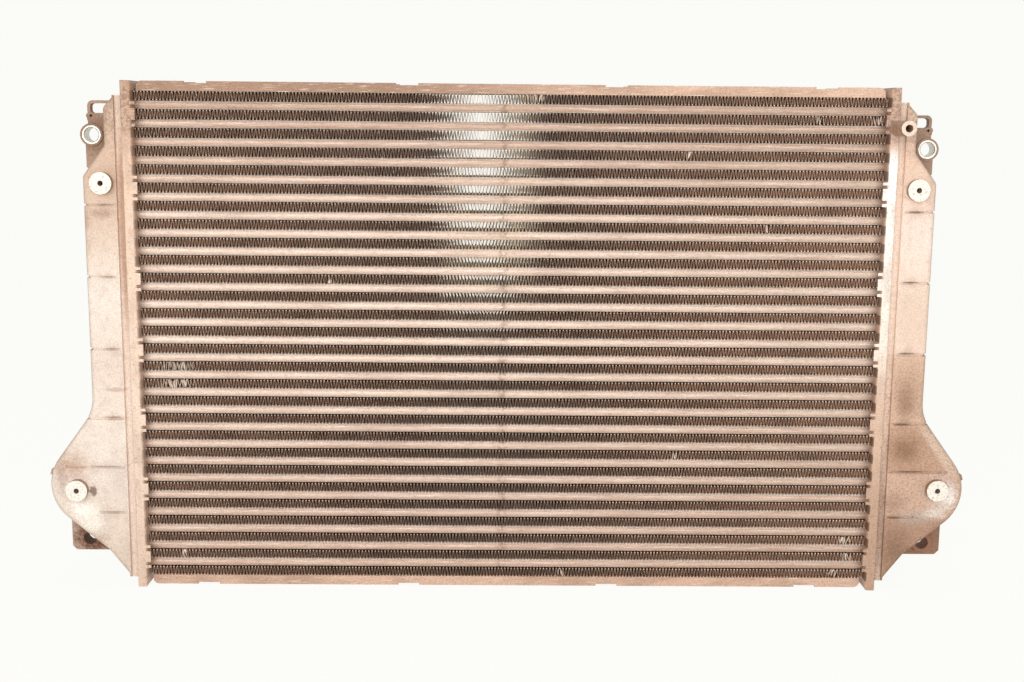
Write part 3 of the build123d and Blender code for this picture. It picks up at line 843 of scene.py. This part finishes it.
@dataclass
class FineFins:
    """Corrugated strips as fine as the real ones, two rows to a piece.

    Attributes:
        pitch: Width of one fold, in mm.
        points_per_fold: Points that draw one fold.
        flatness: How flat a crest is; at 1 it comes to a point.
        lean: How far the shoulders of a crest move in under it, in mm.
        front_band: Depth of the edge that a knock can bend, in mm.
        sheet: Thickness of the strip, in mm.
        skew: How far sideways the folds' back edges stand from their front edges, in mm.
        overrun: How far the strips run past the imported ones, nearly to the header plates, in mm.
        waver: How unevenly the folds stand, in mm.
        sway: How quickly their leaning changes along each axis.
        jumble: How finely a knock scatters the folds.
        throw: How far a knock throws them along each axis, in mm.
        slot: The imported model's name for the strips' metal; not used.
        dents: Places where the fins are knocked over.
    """

    pitch: float = 3.1
    points_per_fold: int = 6
    flatness: float = 1.56
    lean: float = 0.12
    front_band: float = 3.0
    # Real strip is about 0.1 mm; it is drawn thicker, so that its edge shows.
    sheet: float = 0.3
    skew: float = -0.6
    overrun: float = 1.2
    waver: float = 2.2
    sway: Point = (34.0, 0.0, 110.0)
    jumble: float = 420.0
    throw: Point = (13.0, 7.0, 0.0)
    slot: str = "fin_metal"
    dents: tuple[Dent, ...] = (
        Dent((-308, -24, 211), (21, 2, 6)),
        Dent((-309, -24, 194.5), (22, 2, 6)),
        Dent((160, -24, 412), (4, 2, 6)),
        Dent((236, -24, 343), (3, 2, 6)),
        Dent((22, -24, 461), (12, 2, 6)),
        Dent((157, -24, 128), (4, 2, 6)),
        Dent((50, -24, 12), (5, 2, 6)),
        Dent((-308, -24, 31), (4, 2, 6)),
        Dent((322, -24, 46), (8, 2, 6)),
        Dent((325, -24, 30), (6, 2, 6)),
        Dent((312, -24, 13), (6, 2, 6)),
        Dent((279, -24, 442), (5, 2, 6)),
        Dent((332, -24, 442), (6, 2, 6)),
        Dent((-118, -24, 402), (6, 2, 5)),
        Dent((-165, -24, 290), (5, 2, 5)),
        Dent((40, -24, 252), (12, 2, 5)),
    )

    def group(self) -> bpy.types.GeometryNodeTree:
        """Build the node group that folds the strips.

        Returns:
            The group, with its sizes as inputs.
        """
        tree = bpy.data.node_groups.new("corrugated_fin_strips", "GeometryNodeTree")
        sockets = {
            "Start": "NodeSocketVector",
            "Folds": "NodeSocketInt",
            "Pitch": "NodeSocketFloat",
            "Half Height": "NodeSocketFloat",
            "Depth": "NodeSocketFloat",
            "Front Band": "NodeSocketFloat",
            "Skew": "NodeSocketFloat",
            "Row Step": "NodeSocketFloat",
            "Lean": "NodeSocketFloat",
            "Waver": "NodeSocketFloat",
            "Finish": "NodeSocketMaterial",
        }
        for name, kind in sockets.items():
            tree.interface.new_socket(name, in_out="INPUT", socket_type=kind)
        tree.interface.new_socket("Geometry", in_out="OUTPUT", socket_type="NodeSocketGeometry")
        given = add(tree, "NodeGroupInput").outputs
        step = add(
            tree,
            "ShaderNodeMath",
            {0: given["Pitch"], 1: float(self.points_per_fold)},
            operation="DIVIDE",
        )
        count = add(
            tree,
            "ShaderNodeMath",
            {0: given["Folds"], 1: float(self.points_per_fold), 2: 1.0},
            operation="MULTIPLY_ADD",
        )
        line = add(
            tree,
            "GeometryNodeMeshLine",
            {"Count": count, "Offset": add(tree, "ShaderNodeCombineXYZ", {"X": step})},
        )
        # Each point's angle round the fold gives its height and how far it leans in.
        angle = add(
            tree,
            "ShaderNodeMath",
            {
                0: add(tree, "GeometryNodeInputIndex"),
                1: math.tau / self.points_per_fold,
                2: math.pi / self.points_per_fold,
            },
            operation="MULTIPLY_ADD",
        )
        crest = add(
            tree,
            "ShaderNodeMath",
            {0: add(tree, "ShaderNodeMath", {0: angle}, operation="SINE"), 1: self.flatness},
            operation="MULTIPLY",
        )
        level = add(tree, "ShaderNodeClamp", {"Value": crest, "Min": -1.0, "Max": 1.0})
        rise = add(
            tree, "ShaderNodeMath", {0: level, 1: given["Half Height"]}, operation="MULTIPLY"
        )
        twice = add(tree, "ShaderNodeMath", {0: angle, 1: 2.0}, operation="MULTIPLY")
        swing = add(tree, "ShaderNodeMath", {0: twice}, operation="SINE")
        inward = add(tree, "ShaderNodeMath", {0: swing, 1: given["Lean"]}, operation="MULTIPLY")
        folded = add(
            tree,
            "GeometryNodeSetPosition",
            {"Geometry": line, "Offset": add(tree, "ShaderNodeCombineXYZ", {0: inward, 2: rise})},
        )
        rest = add(
            tree,
            "ShaderNodeMath",
            {0: given["Depth"], 1: given["Front Band"]},
            operation="SUBTRACT",
        )
        band = add(
            tree,
            "GeometryNodeExtrudeMesh",
            {
                "Mesh": folded,
                "Offset": add(tree, "ShaderNodeCombineXYZ", {1: given["Front Band"]}),
                "Offset Scale": 1.0,
            },
            mode="EDGES",
        )
        strip = add(
            tree,
            "GeometryNodeExtrudeMesh",
            {
                "Mesh": band,
                "Selection": band.outputs["Top"],
                "Offset": add(tree, "ShaderNodeCombineXYZ", {0: given["Skew"], 1: rest}),
                "Offset Scale": 1.0,
            },
            mode="EDGES",
        )
        rows = add(
            tree,
            "GeometryNodeMeshLine",
            {
                "Count": 2,
                "Start Location": given["Start"],
                "Offset": add(tree, "ShaderNodeCombineXYZ", {2: given["Row Step"]}),
            },
        )
        placed = add(tree, "GeometryNodeInstanceOnPoints", {"Points": rows, "Instance": strip})
        real = add(tree, "GeometryNodeRealizeInstances", {"Geometry": placed})
        bent = self.bend(tree, real, given["Waver"])
        finished = add(
            tree, "GeometryNodeSetMaterial", {"Geometry": bent, "Material": given["Finish"]}
        )
        add(tree, "NodeGroupOutput", {"Geometry": finished})
        return tree

    def bend(
        self, tree: bpy.types.NodeTree, strips: bpy.types.Node, waver: bpy.types.NodeSocket
    ) -> bpy.types.Node:
        """Lean the folds unevenly, and knock over those in a dent.

        Args:
            tree: The group that is being built.
            strips: The node that gives the straight strips.
            waver: How far a fold may lean.

        Returns:
            The node that gives the bent strips.
        """
        spot = add(tree, "GeometryNodeInputPosition")
        # The front and back edge of a fold lean together, so depth doesn't count.
        flat = add(tree, "ShaderNodeVectorMath", {0: spot, 1: self.sway}, operation="MULTIPLY")
        sway = add(tree, "ShaderNodeTexNoise", {"Vector": flat, "Scale": 1.0, "Detail": 2.0})
        centred = add(tree, "ShaderNodeMath", {0: sway, 1: 0.5}, operation="SUBTRACT")
        shift = add(tree, "ShaderNodeMath", {0: centred, 1: waver}, operation="MULTIPLY")
        jumble = add(
            tree, "ShaderNodeTexNoise", {"Vector": spot, "Scale": self.jumble, "Detail": 1.0}
        ).outputs["Color"]
        thrown = add(
            tree, "ShaderNodeVectorMath", {0: jumble, 1: (0.5, 0.34, 0.5)}, operation="SUBTRACT"
        )
        knocked = None
        for dent in self.dents:
            away = add(
                tree,
                "ShaderNodeVectorMath",
                {0: spot, 1: tuple(c * MM for c in dent.at)},
                operation="SUBTRACT",
            )
            scaled = add(
                tree,
                "ShaderNodeVectorMath",
                {0: away, 1: tuple(c * MM for c in dent.reach)},
                operation="DIVIDE",
            )
            length = add(tree, "ShaderNodeVectorMath", {0: scaled}, operation="LENGTH")
            inside = add(
                tree,
                "ShaderNodeMapRange",
                {"Value": length.outputs["Value"], "From Min": 1.0, "From Max": 0.6},
            ).outputs[0]
            knocked = inside if knocked is None else add(
                tree, "ShaderNodeMath", {0: knocked, 1: inside}, operation="MAXIMUM"
            )
        reach = add(
            tree,
            "ShaderNodeVectorMath",
            {0: thrown, 1: tuple(c * MM for c in self.throw)},
            operation="MULTIPLY",
        )
        blow = add(
            tree, "ShaderNodeVectorMath", {0: reach, "Scale": knocked}, operation="SCALE"
        )
        move = add(
            tree,
            "ShaderNodeVectorMath",
            {0: blow, 1: add(tree, "ShaderNodeCombineXYZ", {0: shift})},
            operation="ADD",
        )
        return add(tree, "GeometryNodeSetPosition", {"Geometry": strips, "Offset": move})

    def build(self, group: bpy.types.GeometryNodeTree, node: str, finish: bpy.types.Material) -> None:
        """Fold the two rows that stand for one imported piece.

        Args:
            group: The node group that folds the strips.
            node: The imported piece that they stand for.
            finish: Their material.
        """
        low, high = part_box(node)
        width = high.x - low.x + 2 * self.overrun * MM
        folds = round(width / MM / self.pitch)
        half_row = ROW_HEIGHT / 2 * MM
        start = (low.x - self.overrun * MM, low.y, low.z + half_row)
        piece = bpy.data.objects.new("fine_" + node, bpy.data.meshes.new(node))
        bpy.context.scene.collection.objects.link(piece)
        folding = piece.modifiers.new("folds", "NODES")
        folding.node_group = group
        values = {
            "Start": start,
            "Folds": folds,
            "Pitch": width / folds,
            "Half Height": half_row - self.sheet / 2 * MM,
            "Depth": high.y - low.y,
            "Front Band": self.front_band * MM,
            "Skew": self.skew * MM,
            "Row Step": ROW_STEP * MM,
            "Lean": self.lean * MM,
            "Waver": self.waver * MM,
            "Finish": finish,
        }
        for item in group.interface.items_tree:
            if item.name in values:
                folding[item.identifier] = values[item.name]
        thick = piece.modifiers.new("sheet", "SOLIDIFY")
        thick.thickness = self.sheet * MM
        thick.offset = 0.0
        evaluated = piece.evaluated_get(bpy.context.evaluated_depsgraph_get())
        mesh = bpy.data.meshes.new_from_object(evaluated)
        piece.modifiers.clear()
        piece.data = mesh
        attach(piece, "root")
        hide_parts(node)
        log.info("%s has %d folds and %d faces", piece.name, 2 * folds, len(mesh.polygons))


@dataclass
class Core:
    """Tubes, inner fins and outer fins between two side plates.

    Attributes:
        tube_count: How many tubes there are.
        row_count: How many rows of fins there are.
    """

    tube_count: int = TUBE_COUNT
    row_count: int = ROW_COUNT

    def dress(self) -> None:
        """Give the tubes, the inner fins and the side plates their finishes."""
        tube = BrazedTubeSheet().material()
        for i in range(1, self.tube_count + 1):
            dress(f"tube_{i:02d}", tube)
        dress("inner_fins", InnerFinStrip().material())
        sheet = FoldedSideSheet().material()
        dress("top_side_plate", sheet)
        dress("bottom_side_plate", sheet)

    def build_fins(self) -> None:
        """Fold the fine fins of every pair of rows."""
        fins = FineFins()
        group = fins.group()
        blots = tuple(Blot(d.at, (d.reach[0], 5, d.reach[2]), "#F8E6D4", 0.75) for d in fins.dents)
        finish = RolledFinStrip(blots=blots).material()
        for i in range(1, self.row_count, 2):
            fins.build(group, f"fin_strips_{i:02d}_{i + 1:02d}", finish)


@dataclass
class TankEnd:
    """One end of the core: its header plate, gasket, cast tank and eye bush.

    Attributes:
        side: Which end it is.
    """

    side: Side

    def dress(self) -> None:
        """Give the pieces of this end their finishes."""
        name = self.side.value
        sheet = PressedHeaderSheet(
            f"pressed_aluminium_sheet_{name}", BAND_TONES[self.side], SOOT[self.side]
        )
        dress(f"{name}_header_plate", sheet.material())
        dress(f"{name}_gasket", MouldedRubber(f"moulded_black_rubber_{name}").material())
        dress(f"{name}_end_tank", TANK_FINISHES[self.side].material())
        dress(f"{name}_eye_bush", ZincPlatedSteel(f"zinc_plated_steel_{name}").material())


def seen_or_mirrored(tree: bpy.types.NodeTree) -> bpy.types.Node:
    """Tell rays that show the background from rays that light the part.

    Args:
        tree: Node tree of the floor's material or of the world.

    Returns:
        The node that gives 1 for what the camera sees, straight, mirrored or through something.
    """
    rays = add(tree, "ShaderNodeLightPath").outputs
    straight = add(
        tree,
        "ShaderNodeMath",
        {0: rays["Is Camera Ray"], 1: rays["Is Glossy Ray"]},
        operation="MAXIMUM",
    )
    return add(
        tree,
        "ShaderNodeMath",
        {0: straight, 1: rays["Is Transmission Ray"]},
        operation="MAXIMUM",
    )


@dataclass
class Studio:
    """A plain pale floor and backdrop, soft lamps and the camera.

    Attributes:
        floor_size: Width and depth of the floor, in metres.
        sweep: Radius of the bend from the floor to the backdrop, in metres.
        glow: How far the paper shows its own white instead of the light on it.
        camera_at: Where the camera stands, in metres.
        tilt: How far it looks down, in degrees.
        turn: How far it looks to the right, in degrees.
        roll: How far it is turned about its own axis, in degrees.
        lens: Its focal length, in mm.
        sensor: Its sensor's width, in mm.
    """

    floor_size: float = 9.0
    sweep: float = 1.6
    glow: float = 0.93
    camera_at: Point = (-0.01283, -1.24072, 0.44015)
    tilt: float = 9.456
    turn: float = 0.705
    roll: float = -0.55
    lens: float = 46.66
    sensor: float = 36.0

    def paper(self) -> bpy.types.Material:
        """Matt white paper that looks white all over; a shadow on it is very faint.

        Returns:
            The material.
        """
        material = bpy.data.materials.new("matt_white_paper")
        material.use_nodes = True
        tree = material.node_tree
        tree.nodes.clear()
        weave = add(tree, "ShaderNodeTexNoise", {"Scale": 3.0, "Detail": 3.0})
        tint = add(
            tree, "ShaderNodeValToRGB", {0: weave}, stops=((0.3, "#F9F8F2"), (0.7, "#FEFEFA"))
        )
        matt = add(tree, "ShaderNodeBsdfDiffuse", {"Color": tint})
        glow = add(tree, "ShaderNodeEmission", {"Color": "#FFFFFC", "Strength": 1.0})
        share = add(
            tree, "ShaderNodeMath", {0: seen_or_mirrored(tree), 1: self.glow}, operation="MULTIPLY"
        )
        shader = add(tree, "ShaderNodeMixShader", {0: share, 1: matt, 2: glow})
        add(tree, "ShaderNodeOutputMaterial", {"Surface": shader})
        return material

    def build_floor(self) -> None:
        """Lay the floor and sweep it up into a backdrop."""
        half = self.floor_size / 2
        steps = 16
        profile = [(-half, 0.0), (half - self.sweep, 0.0)]
        for i in range(1, steps + 1):
            a = math.pi / 2 * i / steps
            profile.append(
                (half - self.sweep + self.sweep * math.sin(a), self.sweep * (1 - math.cos(a)))
            )
        profile.append((half, half))
        points = [(x, y, z) for y, z in profile for x in (-half, half)]
        faces = [(i, i + 1, i + 3, i + 2) for i in range(0, len(points) - 2, 2)]
        mesh = bpy.data.meshes.new("floor")
        mesh.from_pydata(points, [], faces)
        mesh.shade_smooth()
        mesh.materials.append(self.paper())
        floor = bpy.data.objects.new("floor", mesh)
        bpy.context.scene.collection.objects.link(floor)

    def light(self) -> None:
        """Hang the soft lamps and set the sky's even light."""
        for name, place, size, power in (
            ("key_lamp", (-0.8, -2.7, 1.05), 2.2, 44.0),
            ("fill_lamp", (1.2, -2.7, 0.5), 2.2, 27.0),
            ("top_lamp", (0.0, 0.4, 2.6), 2.0, 8.0),
        ):
            lamp = bpy.data.lights.new(name, "AREA")
            lamp.shape = "DISK"
            lamp.size = size
            lamp.energy = power
            holder = bpy.data.objects.new(name, lamp)
            holder.location = place
            aim = Vector((0.0, 0.0, 0.24)) - Vector(place)
            holder.rotation_euler = aim.to_track_quat("-Z", "Y").to_euler()
            bpy.context.scene.collection.objects.link(holder)
        world = bpy.data.worlds.new("even_sky")
        world.use_nodes = True
        tree = world.node_tree
        tree.nodes.clear()
        lit = add(tree, "ShaderNodeBackground", {"Color": "#F4F1EA", "Strength": 0.42})
        seen = add(tree, "ShaderNodeBackground", {"Color": "#FEFEF9", "Strength": 1.0})
        mixed = add(tree, "ShaderNodeMixShader", {0: seen_or_mirrored(tree), 1: lit, 2: seen})
        add(tree, "ShaderNodeOutputWorld", {"Surface": mixed})
        bpy.context.scene.world = world

    def place_camera(self) -> None:
        """Set the camera in front of the core, nearly as high as its top, looking slightly down."""
        tilt, turn, roll = (math.radians(a) for a in (self.tilt, self.turn, self.roll))
        forward = Vector(
            (math.sin(turn) * math.cos(tilt), math.cos(turn) * math.cos(tilt), -math.sin(tilt))
        )
        level = Vector((math.cos(turn), -math.sin(turn), 0.0))
        drop = forward.cross(level)
        right = math.cos(roll) * level + math.sin(roll) * drop
        down = -math.sin(roll) * level + math.cos(roll) * drop
        data = bpy.data.cameras.new("camera")
        data.lens = self.lens
        data.sensor_width = self.sensor
        data.clip_start = 0.05
        camera = bpy.data.objects.new("camera", data)
        axes = Matrix((right, -down, -forward)).transposed()
        camera.matrix_world = Matrix.Translation(self.camera_at) @ axes.to_4x4()
        bpy.context.scene.collection.objects.link(camera)
        bpy.context.scene.camera = camera

    def build(self) -> None:
        """Build the floor, the light and the camera."""
        self.build_floor()
        self.light()
        self.place_camera()
        bpy.context.scene.view_settings.view_transform = "Standard"


def main() -> None:
    """Build and dress the intercooler from its core outwards, then the studio."""
    logging.basicConfig(level=logging.INFO, format="%(message)s")
    core = Core()
    core.dress()
    core.build_fins()
    for side in Side:
        TankEnd(side).dress()
    Studio().build()


if __name__ == "__main__":
    main()
